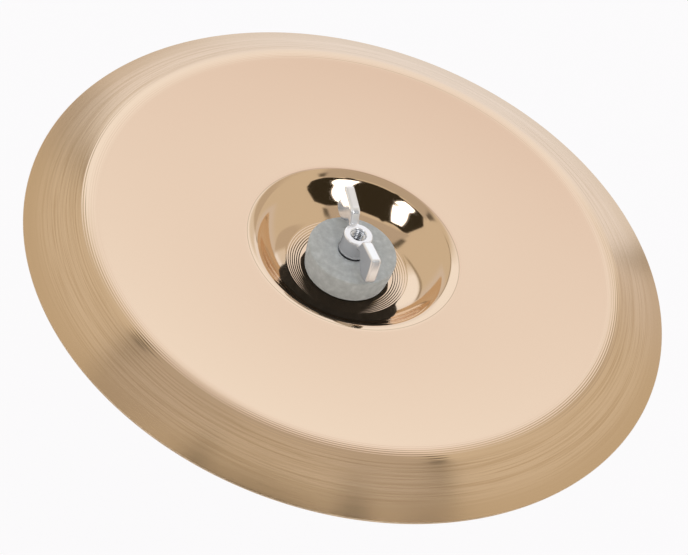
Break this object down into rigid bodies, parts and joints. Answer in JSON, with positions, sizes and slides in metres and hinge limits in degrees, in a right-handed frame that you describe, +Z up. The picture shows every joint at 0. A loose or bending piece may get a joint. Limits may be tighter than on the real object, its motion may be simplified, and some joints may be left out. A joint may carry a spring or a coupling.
{
  "type": "china cymbal",
  "caption": "China cymbal with a turned-back flange, hollow side up, clamped between felts on a threaded post by a wing nut.",
  "frame": {"origin": "middle of the lower face of the coupling nut, where the stand's rod screws in", "axes": "+Z up along the post towards the wing nut, +X along the wings of the nut at rest"},
  "size_m": [0.3556, 0.3556, 0.0797],
  "materials": {
    "polished_bronze": "mirror-polished bow and bell, finely turned flange",
    "cast_chrome": "bright plated die casting",
    "plated_steel": "zinc-plated, satin",
    "grey_felt": "dense mottled wool felt",
    "black_nylon": "moulded, satin"
  },
  "bodies": {
    "post": {"coupling_nut": "plated_steel", "threaded_stud": "plated_steel", "jam_nut": "plated_steel", "cup_washer": "plated_steel", "rod_sleeve": "black_nylon"},
    "felts": {"lower_felt": "grey_felt", "upper_felt": "grey_felt"},
    "cymbal": {"cymbal": "polished_bronze"},
    "washer": {"plain_washer": "plated_steel"},
    "nut": {"wing_nut": "cast_chrome"}
  },
  "joints": [
    {"name": "cymbal_spin", "type": "hinge", "parent": "post", "child": "felts", "pos_m": [0, 0, 0.0408], "axis": [0, 0, 1], "continuous": true},
    {"name": "cymbal_rock", "type": "hinge", "parent": "felts", "child": "cymbal", "pos_m": [0, 0, 0.0408], "axis": [1, 0, 0], "range_deg": [-8, 8], "stiffness_Nm_per_rad": 3, "deforming": ["upper_felt", "lower_felt"]},
    {"name": "nut_travel", "type": "slide", "parent": "post", "child": "washer", "axis": [0, 0, 1], "range_m": [0, 0.00375]},
    {"name": "nut_turn", "type": "hinge", "parent": "washer", "child": "nut", "pos_m": [0, 0, 0.058], "axis": [0, 0, 1], "range_deg": [0, 1080]}
  ],
  "couplings": [
    {"joint": "nut_turn", "follows": "nut_travel", "rad_per_m": 5026.5}
  ]
}
